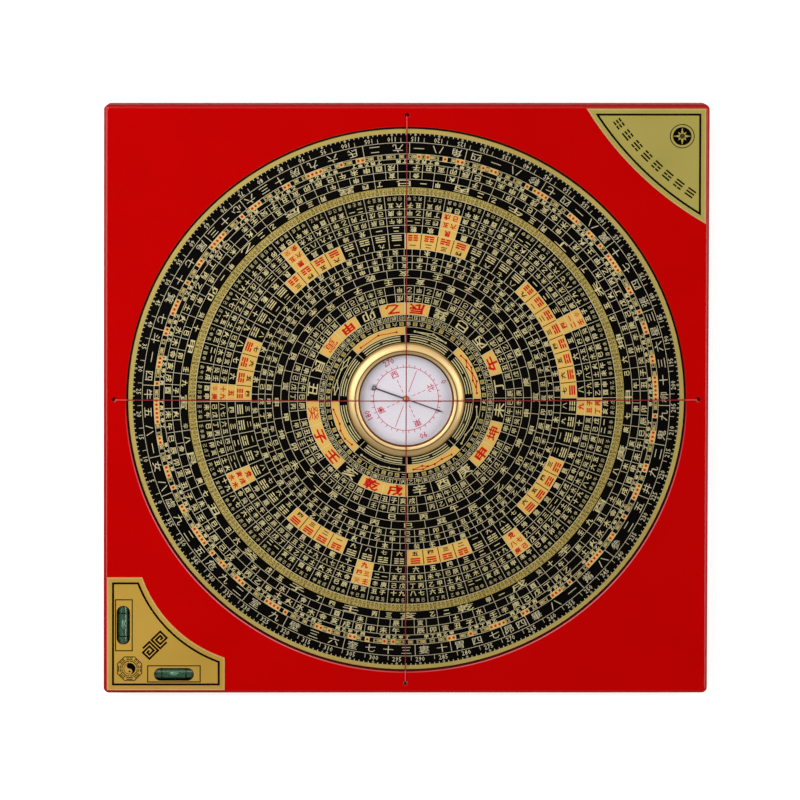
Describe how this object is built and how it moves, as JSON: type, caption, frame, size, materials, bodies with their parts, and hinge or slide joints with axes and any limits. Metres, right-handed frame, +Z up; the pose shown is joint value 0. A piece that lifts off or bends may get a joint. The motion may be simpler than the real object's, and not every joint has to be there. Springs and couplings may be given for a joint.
{
  "type": "feng shui compass",
  "caption": "Square board with a turning round dial, a sealed needle capsule in its middle, crossed sighting threads and spirit levels under a corner plate.",
  "frame": {"origin": "middle of the board's underside", "axes": "+Z up from the table through the dial's axis, +X to the reader's right, +Y away from the reader"},
  "size_m": [0.2174, 0.2174, 0.0119],
  "materials": {
    "lacquer": "gloss red lacquer",
    "felt": "felt",
    "brass": "turned",
    "bezel_brass": "satin polished",
    "gold_plate": "gold anodised, fine brushed",
    "glass": "clear",
    "level_liquid": "tinted clear",
    "plug_rubber": "matt",
    "thread": "twisted thread",
    "dark_resin": "moulded resin, satin",
    "steel": "turned",
    "card": "matt coated card",
    "jewel": "polished",
    "cap_paint": "gloss enamel",
    "needle_steel": "blackened"
  },
  "bodies": {
    "board": {"outer_board": "lacquer", "glide_ring": "felt", "hub_bush": "brass", "level_plate": "gold_plate", "corner_plate": "gold_plate", "vial_glass_x": "glass", "vial_glass_y": "glass", "vial_liquid_x": "level_liquid", "vial_liquid_y": "level_liquid", "vial_plugs_x": "plug_rubber", "vial_plugs_y": "plug_rubber", "string_ew": "thread", "string_ns": "thread"},
    "dial": {"dial_disc": "dark_resin", "dial_plate": "gold_plate", "dial_spindle": "brass", "spindle_screws": "steel", "retaining_washer": "steel", "retaining_screw": "steel", "capsule_cup": "brass", "compass_card": "card", "glass_gasket": "plug_rubber", "lens_glass": "glass", "bezel_ring": "bezel_brass", "pivot_boss": "brass", "pivot_pin": "steel"},
    "needle": {"needle_jewel": "jewel", "needle_cap": "cap_paint", "needle_blade": "needle_steel"}
  },
  "joints": [
    {"name": "dial_turn", "type": "hinge", "parent": "board", "child": "dial", "pos_m": [0, 0, 0.0034], "axis": [0, 0, 1], "continuous": true},
    {"name": "needle_swing", "type": "hinge", "parent": "dial", "child": "needle", "pos_m": [0, 0, 0.0086], "axis": [0, 0, 1], "continuous": true}
  ]
}
